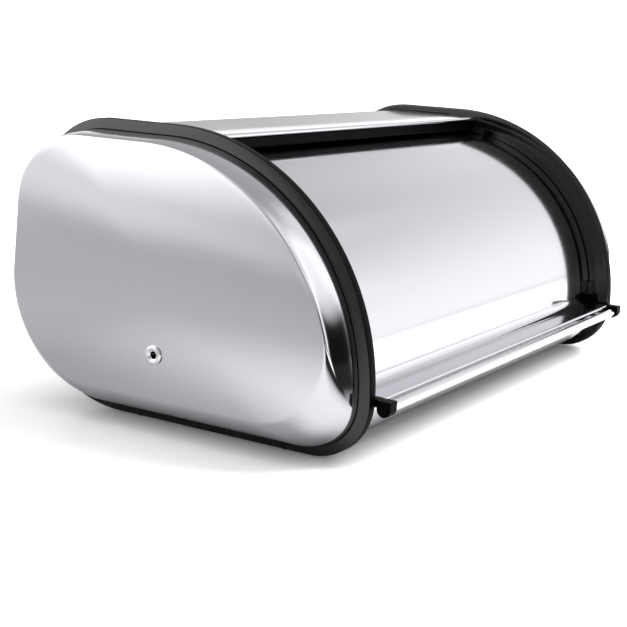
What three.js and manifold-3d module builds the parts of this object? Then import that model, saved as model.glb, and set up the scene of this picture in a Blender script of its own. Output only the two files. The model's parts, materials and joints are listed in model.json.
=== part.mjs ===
// A bread box with a roll-top door: two moulded end frames carry a wrapped steel case,
// two domed end panels and a curved door that slides round in grooves, under the roof.
// Millimetres, +Z up, the front faces -Y. The base of the whole box is centred on the origin.
import * as THREE from "three";
import { mergeVertices } from "three/addons/utils/BufferGeometryUtils.js";
import Module from "manifold-3d";

const wasm = await Module();
wasm.setup();

// ---- Driving dimensions ----------------------------------------------------------------
// The case seen from the side. Heights are above the underside of the end frames, and
// depths are measured from the door's axis, towards the back.
const CASE_HEIGHT = 180;
const FRONT_RADIUS = 141.3; // the long front curve, centred on the door's axis
const FRONT_CORNER_RADIUS = 36.5;
const ROOF_DEPTH = 48.8; // level stretch of roof behind the axis
const ROOF_CORNER_RADIUS = 55.3;
const FLOOR_DEPTH = 35.5; // level stretch of floor behind the axis
const REAR_CORNER_RADIUS = 78.2;
const INNER_WIDTH = 375.5; // between the inner faces of the end frames

// End frames.
const FRAME_WIDTH = 9;
const FRAME_DEPTH = 24; // how far a frame reaches in from its outline
const FRAME_WEB = 2; // wall between the door's groove and the end panel
const BEZEL_WIDTH = 6.3; // ring round the end panel, which slopes away from it
const BEZEL_DROP = 1.6;
const FRAME_EDGE = 0.8; // small chamfer on the outline's two edges
const SKIRT_SLOT = { width: 1.4, depth: 4 };

// Sheet metal.
const SHEET = 0.6;
const ROOF_INSET = 4.6; // roof and back below the frames' outline
const SLOT_DEPTH = 3; // how far the sheets reach into the frames
const SEAM_ANGLE = 12; // the back's lower edge, degrees below level on the rear corner
const SEAM_LAP = 16;
const ROOF_EDGE_DEPTH = 16; // the roof's front edge, ahead of the axis
const HEM_RADIUS = 1.1;
const HEM_LENGTH = 7;
const LEDGE_DROP = 6.9; // from the door's axis down to the top of the sill under the door
const LEDGE_DEPTH = 9.5;
const LEDGE_BEND = 3;
const LEDGE_LIP = 5;
const LEDGE_LIP_BEND = 2;

// Door.
const DOOR_RADIUS = 124;
const DOOR_SHEET = 0.7;
const DOOR_TOP_ANGLE = 93.5; // about the axis, 90 is straight up and 180 is level in front
const DOOR_TRAVEL = 53; // degrees from closed to open
const DOOR_GRIP = 2.9; // how far each side of the door reaches into its groove
const DOOR_HEM = 6;
const DOOR_HEM_BEND = 2;
const FLANGE_DROP = 0.4; // from the axis down to the level flange along the door's lower edge
const FLANGE_BEND = 6;
const LIP_DEPTH = 143.5; // front of the flange's turned-down lip, ahead of the axis
const LIP_BEND = 0.9;
const LIP_LENGTH = 0.5;
const CORNER_EASE = 0.6; // how far the door's lower corners start out into the flange's bend
const GROOVE_WIDTH = 11.1;
const GROOVE_DEPTH = 4.6;
const GROOVE_ABOVE = 5.6; // groove's outer wall, outside the door's outer face
const GROOVE_WALL = 4.5;
const GROOVE_FRONT = 181.5; // the groove's lower end, degrees about the axis
const GROOVE_SPARE = 0.9; // degrees of groove left behind the opened door
const TRACK_SPARE = 3; // degrees of frame beyond each end of the groove
const GLIDE_SPAN = 8; // degrees
const GLIDE_LAP = 0.4; // degrees between a glide and the door's edge or the groove's end

// Handle.
const ROD_RADIUS = 3.1;
const ROD_FORWARD = 147.4;
const ROD_DROP = 5.3; // from the door's axis
const HOLDER_RADIUS = 4.4;
const HOLDER_WIDTH = 7.6;
const HOLDER_DROP = 5; // from the axis down to the underside of the holder's foot
const HOLDER_FOOT = 10.5;
const HOLDER_LUG = { height: 6.5, radius: 3.4 };
const HOLDER_WEB = 5.5;
const HOLDER_SCREW = { back: 5.2, share: 0.45 }; // behind the lip, and along the foot
const SOCKET_DEPTH = 5.4;

// End panels.
const PANEL_RISE = 26.6; // from the frame's outer face to the edge of the panel's face
const PANEL_CROWN = 4.5;
const PANEL_SHOULDER = { front: 9, floor: 21, cornerRadius: 46, roofCorner: 46, rearCorner: 62 };
const PANEL_PEAK = { ahead: 12, height: 95.4 };
const SHOULDER_SWEEP = 60; // degrees of ellipse between the skirt and the crease
const SHOULDER_STEPS = 4;
const CROWN_SHARES = [0.7, 0.35];
const SKIRT_CLEARANCE = 0.3;
const SKIRT_SINK = 0.6; // where the shoulder starts, below the bezel's inner edge
const EYELET_PLAY = 1.5; // behind the panel, which falls away round the vent
const VENT = { ahead: 14.6, height: 49.3, bore: 2.9, flange: 5.75, tube: 2.1, lip: 1.3, curl: 1.6 };

// Small parts.
const GAP = 0.35; // between pieces that meet
const PAST = 1; // how far a cutting shape runs past the face it opens
const RUNNING = 0.45; // round a glide in its groove
const SEAL_THICKNESS = 3;
const SEAL_OFFSET = 2; // behind the roof's front edge
const SEAL_CLEARANCE = 2; // above the door
const SEAL_CHAMFER = 1;
const FOOT = { radius: 2.4, height: 2, proud: 0.8 };
const FOOT_PLACES = [-86, 20];
const BUMPER_RADIUS = 3.5;
const BUMPER_REACH = 150;
const TAB = { width: 15, height: 14, thickness: 1, snip: 3, screwHeight: 8.4 };
const FLOOR_TABS = [-70, 18]; // depths
const CORNER_TAB = 52; // degrees above level on the roof corner
const BACK_TAB = 0.3; // share of the leaning back's height
const SCREW = { shank: 1.4, head: 2.8, headHeight: 1.9, grip: 3.6, point: 1 };
const RIVET = { shank: 1.6, head: 3.2, headHeight: 1.1, tail: 1.6, tailRadius: 2.5 };
const RIVET_REACH = [-140, 0, 140];

// ---- Sizes that follow -----------------------------------------------------------------
const AXIS_Z = CASE_HEIGHT - FRONT_RADIUS;
const LEDGE_HEIGHT = AXIS_Z - LEDGE_DROP;
const FLANGE_HEIGHT = AXIS_Z - FLANGE_DROP;
const ROD_HEIGHT = AXIS_Z - ROD_DROP;
const HOLDER_FLOOR = AXIS_Z - HOLDER_DROP;
const INNER_FACE = INNER_WIDTH / 2;
const OUTER_FACE = INNER_FACE + FRAME_WIDTH;
const RIM_WIDTH = FRAME_WIDTH - BEZEL_DROP; // along the outline
const GROOVE_OUTER = DOOR_RADIUS + GROOVE_ABOVE;
const GROOVE_INNER = GROOVE_OUTER - GROOVE_WIDTH;
const GROOVE_FLOOR = INNER_FACE + GROOVE_DEPTH;
const WEB_FACE = GROOVE_FLOOR + FRAME_WEB;
const BASE_INSET = ROOF_INSET + SHEET + GAP;
const SHEET_REACH = INNER_FACE + SLOT_DEPTH - GAP;
const CLEAR_REACH = INNER_FACE - GAP; // what stays between the frames
const FLANGE_MIDDLE = FLANGE_HEIGHT - DOOR_SHEET / 2;
const LEDGE_BACK = GROOVE_INNER - 8; // behind this the base reaches into the frames' slots
const HOLDER_INNER = INNER_FACE - GAP - HOLDER_WEB;
const FLANGE_REACH = HOLDER_INNER - 2 * GAP;
const FOOT_INNER = HOLDER_INNER - HOLDER_FOOT;
const HEM_END = ROOF_EDGE_DEPTH - HEM_LENGTH - 2 * HEM_RADIUS;
const CASE_REAR = FLOOR_DEPTH + REAR_CORNER_RADIUS;
const CASE_FRONT = ROD_FORWARD + HOLDER_RADIUS;

const SIDES = { left: -1, right: 1 };
const rad = THREE.MathUtils.degToRad;
const deg = THREE.MathUtils.radToDeg;

// ---- Materials -------------------------------------------------------------------------
const material = (color, metalness, roughness) =>
  new THREE.MeshStandardMaterial({ color, metalness, roughness });
const steel = material(0xc9cacf, 1, 0.12);
const chrome = material(0xe4e5e8, 1, 0.06);
const blackPlastic = material(0x121215, 0, 0.22);
const glidePlastic = material(0x1b1b1d, 0, 0.45);
const rubber = material(0x161616, 0, 0.8);
const zincScrew = material(0xb9bcc0, 1, 0.3);

// ---- Solids ----------------------------------------------------------------------------
// A closed geometry as a solid that can be joined and cut.
function toSolid(geometry) {
  const bare = new THREE.BufferGeometry();
  bare.setAttribute("position", geometry.getAttribute("position"));
  if (geometry.index) bare.setIndex(geometry.index);
  const merged = mergeVertices(bare, 1e-4);
  const triVerts = new Uint32Array(merged.index.array);
  const vertProperties = new Float32Array(merged.attributes.position.array);
  return new wasm.Manifold(new wasm.Mesh({ numProp: 3, vertProperties, triVerts }));
}

function toGeometry(solid) {
  const mesh = solid.getMesh();
  const geometry = new THREE.BufferGeometry();
  geometry.setAttribute("position", new THREE.BufferAttribute(mesh.vertProperties, 3));
  geometry.setIndex(new THREE.BufferAttribute(mesh.triVerts, 1));
  const flat = geometry.toNonIndexed();
  flat.computeVertexNormals();
  return flat;
}

// The first geometry, with some joined to it and others cut out of it.
function combine(first, { add = [], cut = [], keep = [] }) {
  let solid = toSolid(first);
  for (const piece of add) solid = solid.add(toSolid(piece));
  for (const piece of keep) solid = solid.intersect(toSolid(piece));
  for (const piece of cut) solid = solid.subtract(toSolid(piece));
  return toGeometry(solid);
}

// A side-view shape, drawn in (y, z), as a prism between two places along X.
function prism(shape, fromX, toX, curveSegments = 12) {
  const depth = Math.abs(toX - fromX);
  const geometry = new THREE.ExtrudeGeometry(shape, { depth, bevelEnabled: false, curveSegments });
  const turn = new THREE.Matrix4().makeBasis(
    new THREE.Vector3(0, 1, 0),
    new THREE.Vector3(0, 0, 1),
    new THREE.Vector3(1, 0, 0),
  );
  geometry.applyMatrix4(turn);
  return geometry.translate(Math.min(fromX, toX), 0, 0);
}

function box(x0, x1, y0, y1, z0, z1) {
  const geometry = new THREE.BoxGeometry(Math.abs(x1 - x0), y1 - y0, z1 - z0);
  return geometry.translate((x0 + x1) / 2, (y0 + y1) / 2, (z0 + z1) / 2);
}

// A profile of [radius, height] pairs turned about an axis, which starts at a point.
function turned(profile, start, axis, segments = 12) {
  const points = profile.map(([r, h]) => new THREE.Vector2(r, h));
  const geometry = new THREE.LatheGeometry(points, segments);
  const up = new THREE.Vector3(0, 1, 0);
  const turn = new THREE.Quaternion().setFromUnitVectors(up, axis.clone().normalize());
  geometry.applyQuaternion(turn);
  return geometry.translate(start.x, start.y, start.z);
}

// A hole's cutting shape.
const drill = (radius, depth, start, axis, segments) =>
  turned([[0, 0], [radius, 0], [radius, depth], [0, depth]], start, axis, segments);

// A pin along an axis, with chamfered ends.
function pin(radius, length, start, axis, segments, chamfer) {
  const profile = [
    [0, 0],
    [radius - chamfer, 0],
    [radius, chamfer],
    [radius, length - chamfer],
    [radius - chamfer, length],
    [0, length],
  ];
  return turned(profile, start, axis, segments);
}

// Rings of points skinned into one closed surface, turned to face outwards. A ring of one
// point is a tip. Without tips, the last ring joins the first.
function loft(rings) {
  const count = Math.max(...rings.map((ring) => ring.length));
  const starts = [];
  const positions = [];
  for (const ring of rings) {
    starts.push(positions.length / 3);
    for (const point of ring) positions.push(point.x, point.y, point.z);
  }
  const index = [];
  const closed = rings[0].length > 1;
  const bands = closed ? rings.length : rings.length - 1;
  for (let k = 0; k < bands; k++) {
    const a = k;
    const b = (k + 1) % rings.length;
    for (let i = 0; i < count; i++) {
      const j = (i + 1) % count;
      const [a0, a1] = rings[a].length === 1 ? [starts[a], starts[a]] : [starts[a] + i, starts[a] + j];
      const [b0, b1] = rings[b].length === 1 ? [starts[b], starts[b]] : [starts[b] + i, starts[b] + j];
      if (a0 !== a1) index.push(a0, a1, b0);
      if (b0 !== b1) index.push(a1, b1, b0);
    }
  }
  const geometry = new THREE.BufferGeometry();
  geometry.setAttribute("position", new THREE.Float32BufferAttribute(positions, 3));
  geometry.setIndex(signedVolume(positions, index) < 0 ? index.reverse() : index);
  geometry.computeVertexNormals();
  return geometry;
}

function signedVolume(positions, index) {
  const corner = (n) => new THREE.Vector3().fromArray(positions, 3 * index[n]);
  let sum = 0;
  for (let n = 0; n < index.length; n += 3) {
    sum += corner(n).dot(corner(n + 1).cross(corner(n + 2)));
  }
  return sum / 6;
}

// ---- Side outlines ---------------------------------------------------------------------
// The case's side outline as tangent arcs: long front curve, front corner, rear corner and
// roof corner. The floor, the leaning back and the roof are the straights between them.
function outlineArcs(size) {
  const { frontR, cornerR, floor, roofR, rearR } = size;
  const top = AXIS_Z + frontR;
  const cornerZ = floor + cornerR;
  const cornerY = -Math.sqrt((frontR - cornerR) ** 2 - (AXIS_Z - cornerZ) ** 2);
  const join = Math.atan2(cornerZ - AXIS_Z, cornerY);
  const front = { y: 0, z: AXIS_Z, r: frontR, from: 90, to: (deg(join) + 360) % 360, steps: 16 };
  const corner = { y: cornerY, z: cornerZ, r: cornerR, from: front.to, to: 270, steps: 7 };
  const rear = { y: FLOOR_DEPTH, z: floor + rearR, r: rearR, from: 270, steps: 8 };
  const roof = { y: ROOF_DEPTH, z: top - roofR, r: roofR, to: 450, steps: 7 };
  const span = new THREE.Vector2(roof.y - rear.y, roof.z - rear.z);
  const lean = deg(span.angle() - Math.acos((rearR - roofR) / span.length()));
  rear.to = 360 + lean;
  roof.from = 360 + lean;
  return { front, corner, rear, roof, lean, wall: Math.sqrt(span.lengthSq() - (rearR - roofR) ** 2) };
}

const CASE = outlineArcs({
  frontR: FRONT_RADIUS,
  cornerR: FRONT_CORNER_RADIUS,
  floor: 0,
  roofR: ROOF_CORNER_RADIUS,
  rearR: REAR_CORNER_RADIUS,
});

// Points round an outline, moved inwards by an inset.
function outlinePoints(arcs, inset) {
  const points = [];
  for (const arc of [arcs.front, arcs.corner, arcs.rear, arcs.roof]) {
    for (let i = 0; i <= arc.steps; i++) {
      const angle = rad(arc.from + ((arc.to - arc.from) * i) / arc.steps);
      const r = arc.r - inset;
      points.push(new THREE.Vector2(arc.y + r * Math.cos(angle), arc.z + r * Math.sin(angle)));
    }
  }
  return points;
}

const ringAt = (points, x) => points.map((p) => new THREE.Vector3(x, p.x, p.y));

// A slice of a ring about the door's axis, seen from the side.
function sector(innerR, outerR, fromDeg, toDeg) {
  const shape = new THREE.Shape();
  shape.absarc(0, AXIS_Z, outerR, rad(fromDeg), rad(toDeg), false);
  shape.absarc(0, AXIS_Z, innerR, rad(toDeg), rad(fromDeg), true);
  return shape;
}

// ---- Sheet metal -----------------------------------------------------------------------
// The middle line of a bent sheet, drawn from one edge by straights and bends.
class Tape {
  constructor(y, z, headingDeg) {
    this.end = new THREE.Vector2(y, z);
    this.heading = rad(headingDeg);
    this.points = [this.end.clone()];
    this.headings = [this.heading];
  }

  mark() {
    this.points.push(this.end.clone());
    this.headings.push(this.heading);
    return this;
  }

  line(length) {
    this.end.x += length * Math.cos(this.heading);
    this.end.y += length * Math.sin(this.heading);
    return this.mark();
  }

  // A positive turn is anticlockwise, with the back to the right.
  bend(radius, turnDeg) {
    const side = Math.sign(turnDeg);
    const steps = Math.max(2, Math.ceil(Math.abs(turnDeg) / (radius > 20 ? 4 : 18)));
    const normal = this.heading + (side * Math.PI) / 2;
    const centre = this.end.clone();
    centre.x += radius * Math.cos(normal);
    centre.y += radius * Math.sin(normal);
    const start = this.heading;
    for (let i = 1; i <= steps; i++) {
      this.heading = start + rad((turnDeg * i) / steps);
      const out = this.heading - (side * Math.PI) / 2;
      this.end.set(centre.x + radius * Math.cos(out), centre.y + radius * Math.sin(out));
      this.mark();
    }
    return this;
  }

  // The same line drawn from the other edge, followed by another from where it began.
  thenBack(other) {
    this.points = [...this.points.slice(1).reverse(), ...other.points];
    this.headings = [...this.headings.slice(1).reverse().map((h) => h + Math.PI), ...other.headings];
    return this;
  }
}

// The side view of a sheet of one thickness along a tape.
function ribbon(tape, thickness) {
  const edge = (offset) =>
    tape.points.map((p, i) => {
      const normal = tape.headings[i] + Math.PI / 2;
      return new THREE.Vector2(p.x + offset * Math.cos(normal), p.y + offset * Math.sin(normal));
    });
  return new THREE.Shape([...edge(thickness / 2), ...edge(-thickness / 2).reverse()]);
}

// Roof and back from the roof's front edge. Its hem is drawn only for the sheet itself.
function roofTape(startDepth, extra) {
  const inset = ROOF_INSET + SHEET / 2;
  const frontR = FRONT_RADIUS - inset;
  const angle = 90 + deg(Math.asin(startDepth / frontR));
  const y = frontR * Math.cos(rad(angle));
  const z = AXIS_Z + frontR * Math.sin(rad(angle));
  const rearR = REAR_CORNER_RADIUS - inset;
  return new Tape(y, z, angle - 90)
    .bend(frontR, 90 - angle)
    .line(ROOF_DEPTH)
    .bend(ROOF_CORNER_RADIUS - inset, CASE.lean - 90)
    .line(CASE.wall)
    .bend(rearR, -(CASE.lean + SEAM_ANGLE + deg(extra / rearR)));
}

// Floor and sill from the seam at the back, up to where the ledge's bend begins. That is on the
// front corner, or on the long front curve where the sill is higher than the corner. There the
// sheet is still "short" degrees from upright.
function baseTape(extra) {
  const inset = BASE_INSET + SHEET / 2;
  const rearR = REAR_CORNER_RADIUS - inset;
  const start = -SEAM_ANGLE + deg((SEAM_LAP + extra) / rearR);
  const y = CASE.rear.y + rearR * Math.cos(rad(start));
  const z = CASE.rear.z + rearR * Math.sin(rad(start));
  const cornerR = FRONT_CORNER_RADIUS - inset;
  const frontR = FRONT_RADIUS - inset;
  const ledge = LEDGE_HEIGHT - SHEET / 2;
  const shortOn = (z, r) => deg(Math.asin((z + LEDGE_BEND - ledge) / (r - LEDGE_BEND)));
  const join = CASE.front.to - 180;
  const high = shortOn(AXIS_Z, frontR) < join;
  const short = high ? shortOn(AXIS_Z, frontR) : shortOn(CASE.corner.z, cornerR);
  const tape = new Tape(y, z, start - 90)
    .bend(rearR, -(90 + start))
    .line(FLOOR_DEPTH - CASE.corner.y)
    .bend(cornerR, -(90 - Math.max(short, join)));
  if (high) tape.bend(frontR, short - join);
  return { tape, short };
}

function upperShell() {
  const body = roofTape(ROOF_EDGE_DEPTH, 0);
  const hem = new Tape(body.points[0].x, body.points[0].y, 180 + deg(body.headings[0]));
  hem.bend(HEM_RADIUS, 180).line(HEM_LENGTH);
  const whole = prism(ribbon(hem.thenBack(body), SHEET), -SHEET_REACH, SHEET_REACH);
  const edge = -ROOF_EDGE_DEPTH - 2 * HEM_RADIUS;
  const add = [];
  const cut = [];
  for (const side of Object.values(SIDES)) {
    const past = side * (SHEET_REACH + PAST);
    cut.push(box(side * CLEAR_REACH, past, edge, -HEM_END, AXIS_Z + DOOR_RADIUS / 2, CASE_HEIGHT));
    for (const tab of upperTabs(side)) {
      add.push(tab.plate);
      cut.push(tab.hole);
    }
  }
  for (const x of RIVET_REACH) cut.push(rivetHole(x));
  return combine(whole, { add, cut });
}

function baseShell() {
  const { tape, short } = baseTape(0);
  tape.bend(LEDGE_BEND, -(90 + short)).line(LEDGE_DEPTH).bend(LEDGE_LIP_BEND, -90).line(LEDGE_LIP);
  const whole = prism(ribbon(tape, SHEET), -SHEET_REACH, SHEET_REACH);
  const add = [];
  const cut = [];
  const sillTop = LEDGE_HEIGHT - LEDGE_LIP - 2 * LEDGE_BEND;
  for (const side of Object.values(SIDES)) {
    const past = side * (SHEET_REACH + PAST);
    cut.push(box(side * CLEAR_REACH, past, -FRONT_RADIUS, -LEDGE_BACK, sillTop, LEDGE_HEIGHT + PAST));
    for (const tab of baseTabs(side)) {
      add.push(tab.plate);
      cut.push(tab.hole);
    }
  }
  for (const x of RIVET_REACH) cut.push(rivetHole(x));
  return combine(whole, { add, cut });
}

// ---- Tabs and their screws -------------------------------------------------------------
// A tab is a small plate on a sheet's inner face, flat against a frame. It is described by
// its foot on the sheet and the direction, in degrees, in which it stands.
function tabAt(side, y, z, standDeg) {
  const outer = side * CLEAR_REACH;
  const inner = side * (CLEAR_REACH - TAB.thickness);
  const stand = rad(standDeg);
  const out = new THREE.Vector2(Math.cos(stand), Math.sin(stand));
  const along = new THREE.Vector2(-out.y, out.x);
  const at = (u, v) => new THREE.Vector2(y + u * along.x + v * out.x, z + u * along.y + v * out.y);
  const half = TAB.width / 2;
  const sunk = -SHEET / 2;
  const low = TAB.height - TAB.snip;
  const corners = [at(-half, sunk), at(half, sunk), at(half, low), at(half - TAB.snip, TAB.height)];
  const shape = new THREE.Shape([...corners, at(TAB.snip - half, TAB.height), at(-half, low)]);
  const screw = at(0, TAB.screwHeight);
  const axis = new THREE.Vector3(side, 0, 0);
  const holeStart = new THREE.Vector3(side * (CLEAR_REACH - 2 * TAB.thickness), screw.x, screw.y);
  return {
    plate: prism(shape, inner, outer),
    hole: drill(SCREW.shank + GAP, 3 * TAB.thickness, holeStart, axis),
    screw,
    inner,
    axis,
  };
}

function baseTabs(side) {
  const floor = BASE_INSET + SHEET / 2;
  return FLOOR_TABS.map((y) => tabAt(side, y, floor, 90));
}

// One tab stands on the roof corner and one on the leaning back.
function upperTabs(side) {
  const inset = ROOF_INSET + SHEET / 2;
  const corner = rad(CORNER_TAB);
  const cornerR = ROOF_CORNER_RADIUS - inset;
  const onCorner = [ROOF_DEPTH + cornerR * Math.cos(corner), CASE.roof.z + cornerR * Math.sin(corner)];
  const lean = rad(CASE.lean);
  const rearR = REAR_CORNER_RADIUS - inset;
  const up = new THREE.Vector2(-Math.sin(lean), Math.cos(lean)).multiplyScalar(CASE.wall * BACK_TAB);
  const onBack = [CASE.rear.y + rearR * Math.cos(lean) + up.x, CASE.rear.z + rearR * Math.sin(lean) + up.y];
  return [tabAt(side, ...onCorner, CORNER_TAB + 180), tabAt(side, ...onBack, CASE.lean + 180)];
}

// A pan-head screw through a tab into the frame, and the frame's pilot hole for it.
function tabScrew(tab) {
  const length = SCREW.headHeight + GAP + TAB.thickness + GAP + SCREW.grip;
  const headX = tab.inner - tab.axis.x * (SCREW.headHeight + GAP);
  return turned(screwProfile(length), new THREE.Vector3(headX, tab.screw.x, tab.screw.y), tab.axis);
}

function screwProfile(length) {
  const { shank, head, headHeight } = SCREW;
  return [
    [0, 0],
    [head * 0.6, 0],
    [head, headHeight * 0.5],
    [head, headHeight],
    [shank, headHeight],
    [shank, length - SCREW.point],
    [shank * 0.4, length],
    [0, length],
  ];
}

function pilotHole(tab) {
  const start = new THREE.Vector3(tab.axis.x * (INNER_FACE - PAST), tab.screw.x, tab.screw.y);
  return drill(SCREW.shank + GAP, PAST + SCREW.grip + SCREW.point, start, tab.axis);
}

// ---- Seam rivets -----------------------------------------------------------------------
const SEAM = (() => {
  const middle = -SEAM_ANGLE + deg(SEAM_LAP / 2 / (REAR_CORNER_RADIUS - BASE_INSET));
  const out = new THREE.Vector3(0, Math.cos(rad(middle)), Math.sin(rad(middle)));
  const foot = new THREE.Vector3(0, CASE.rear.y, CASE.rear.z);
  return { out, inner: foot.addScaledVector(out, REAR_CORNER_RADIUS - BASE_INSET - SHEET) };
})();

function rivetHole(x) {
  const start = SEAM.inner.clone().addScaledVector(SEAM.out, -PAST).setX(x);
  return drill(RIVET.shank + GAP, 2 * SHEET + GAP + 2 * PAST, start, SEAM.out);
}

function seamRivet(x) {
  const { shank, head, headHeight, tail, tailRadius } = RIVET;
  const grip = 2 * SHEET + GAP;
  const start = SEAM.inner.clone().addScaledVector(SEAM.out, -GAP - tail).setX(x);
  const headBase = tail + GAP + grip + 2 * GAP;
  const profile = [
    [0, 0],
    [tailRadius * 0.9, tail * 0.2],
    [tailRadius, tail],
    [shank, tail],
    [shank, headBase],
    [head, headBase],
    [head * 0.8, headBase + headHeight * 0.7],
    [0, headBase + headHeight],
  ];
  return turned(profile, start, SEAM.out);
}

// ---- End frames ------------------------------------------------------------------------
// A ring of one cross-section round the case's outline, widened into a track that holds
// the door's groove, and slotted for the sheets and the end panel's skirt.
const SLOT_OUTER = BEZEL_WIDTH;
const SLOT_INNER = BEZEL_WIDTH + SKIRT_SLOT.width;
const SLOT_FLOOR = OUTER_FACE - SKIRT_SLOT.depth;
const GROOVE_REAR = DOOR_TOP_ANGLE - DOOR_TRAVEL - GROOVE_SPARE;

function endFrame(side) {
  const section = [
    [FRAME_EDGE, INNER_FACE],
    [0, INNER_FACE + FRAME_EDGE],
    [0, INNER_FACE + RIM_WIDTH - FRAME_EDGE],
    [FRAME_EDGE, INNER_FACE + RIM_WIDTH],
    [SLOT_OUTER, OUTER_FACE],
    [SLOT_OUTER, SLOT_FLOOR],
    [SLOT_INNER, SLOT_FLOOR],
    [SLOT_INNER, WEB_FACE],
    [FRAME_DEPTH, WEB_FACE],
    [FRAME_DEPTH, INNER_FACE],
  ];
  const ring = loft(section.map(([inset, x]) => ringAt(outlinePoints(CASE, inset), side * x)));
  const walls = [GROOVE_INNER - GROOVE_WALL, GROOVE_OUTER + GROOVE_WALL];
  const trackShape = sector(...walls, GROOVE_REAR - TRACK_SPARE, GROOVE_FRONT + TRACK_SPARE);
  const inside = new THREE.Shape(outlinePoints(CASE, SLOT_INNER));
  const track = combine(prism(trackShape, side * INNER_FACE, side * WEB_FACE, GROOVE_SEGMENTS), {
    keep: [prism(inside, -OUTER_FACE, OUTER_FACE)],
  });
  const open = side * (INNER_FACE - PAST);
  const slotEnd = side * (INNER_FACE + SLOT_DEPTH);
  const slotWidth = SHEET + 2 * GAP;
  const groove = sector(GROOVE_INNER, GROOVE_OUTER, GROOVE_REAR, GROOVE_FRONT);
  const cut = [
    prism(groove, open, side * GROOVE_FLOOR, GROOVE_SEGMENTS),
    prism(ribbon(roofTape(HEM_END + GAP, PAST), slotWidth), open, slotEnd),
    prism(ribbon(baseTape(PAST).tape, slotWidth), open, slotEnd),
    ...[...upperTabs(side), ...baseTabs(side)].map(pilotHole),
    ...FOOT_PLACES.map((y) => footPocket(side, y)),
  ];
  return combine(ring, { add: [track], cut });
}

const GROOVE_SEGMENTS = 22;
const footX = (side) => side * (INNER_FACE + RIM_WIDTH / 2);
const UP = new THREE.Vector3(0, 0, 1);

function footPocket(side, y) {
  const depth = PAST + FOOT.height - FOOT.proud + GAP;
  return drill(FOOT.radius + GAP, depth, new THREE.Vector3(footX(side), y, -PAST), UP, 20);
}

function footPad(side, y) {
  return pin(FOOT.radius, FOOT.height, new THREE.Vector3(footX(side), y, -FOOT.proud), UP, 20, 0.3);
}

// ---- End panels ------------------------------------------------------------------------
// A drawn steel dish: a skirt that enters the frame's slot, a sloping shoulder and a
// gently crowned face inside a crisp crease.
const FACE_ARCS = outlineArcs({
  frontR: FRONT_RADIUS - PANEL_SHOULDER.front,
  cornerR: PANEL_SHOULDER.cornerRadius,
  floor: PANEL_SHOULDER.floor,
  roofR: PANEL_SHOULDER.roofCorner,
  rearR: PANEL_SHOULDER.rearCorner,
});
const PEAK = new THREE.Vector2(-PANEL_PEAK.ahead, PANEL_PEAK.height);

// The dish's rings from the skirt's edge to the middle, on the outer face or, with the
// sheet's thickness as the offset, on the inner one.
function dishRings(side, offset) {
  const skirt = outlinePoints(CASE, SLOT_OUTER + SKIRT_CLEARANCE + offset);
  const face = outlinePoints(FACE_ARCS, offset * 0.7);
  const skirtTop = OUTER_FACE - SKIRT_SINK;
  const crease = OUTER_FACE + PANEL_RISE;
  const rings = [ringAt(skirt, side * (SLOT_FLOOR + GAP))];
  const sweep = rad(SHOULDER_SWEEP);
  for (let i = 0; i <= SHOULDER_STEPS; i++) {
    const angle = (sweep * i) / SHOULDER_STEPS;
    const inwards = (1 - Math.cos(angle)) / (1 - Math.cos(sweep));
    const outwards = Math.sin(angle) / Math.sin(sweep);
    const points = skirt.map((p, n) => p.clone().lerp(face[n], inwards));
    const x = THREE.MathUtils.lerp(skirtTop - offset * 0.6, crease - offset, outwards);
    rings.push(ringAt(points, side * x));
  }
  for (const share of CROWN_SHARES) {
    const points = face.map((p) => p.clone().lerp(PEAK, 1 - share));
    rings.push(ringAt(points, side * (crownAt(share) - offset)));
  }
  rings.push(ringAt([PEAK], side * (crownAt(0) - offset)));
  return rings;
}

const crownAt = (share) => OUTER_FACE + PANEL_RISE + PANEL_CROWN * (1 - share ** 2);

function endPanel(side) {
  const dish = loft([...dishRings(side, 0).reverse(), ...dishRings(side, SHEET)]);
  const start = new THREE.Vector3(side * OUTER_FACE, -VENT.ahead, VENT.height);
  const depth = PANEL_RISE + PANEL_CROWN + PAST;
  return combine(dish, { cut: [drill(VENT.bore, depth, start, new THREE.Vector3(side, 0, 0), 24)] });
}

// A rolled eyelet through the end panel. The face falls away slightly around it, so its
// seat is the face's highest place under the flange.
function ventEyelet(side) {
  const { bore, flange, tube, lip, curl } = VENT;
  const back = -(GAP + SHEET + EYELET_PLAY);
  const tubeOuter = bore - GAP;
  const profile = [
    [tube, back - lip],
    [bore + curl, back - lip],
    [bore + curl, back],
    [tubeOuter, back],
    [tubeOuter, 0],
    [flange, 0],
    [flange - lip * 0.4, lip * 0.7],
    [flange - lip * 1.2, lip],
    [tube + lip * 0.5, lip * 0.8],
    [tube, lip * 0.3],
    [tube, back - lip],
  ];
  const seat = new THREE.Vector3(side * (crownAt(0.5) + GAP), -VENT.ahead, VENT.height);
  return turned(profile, seat, new THREE.Vector3(side, 0, 0), 20);
}

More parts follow.
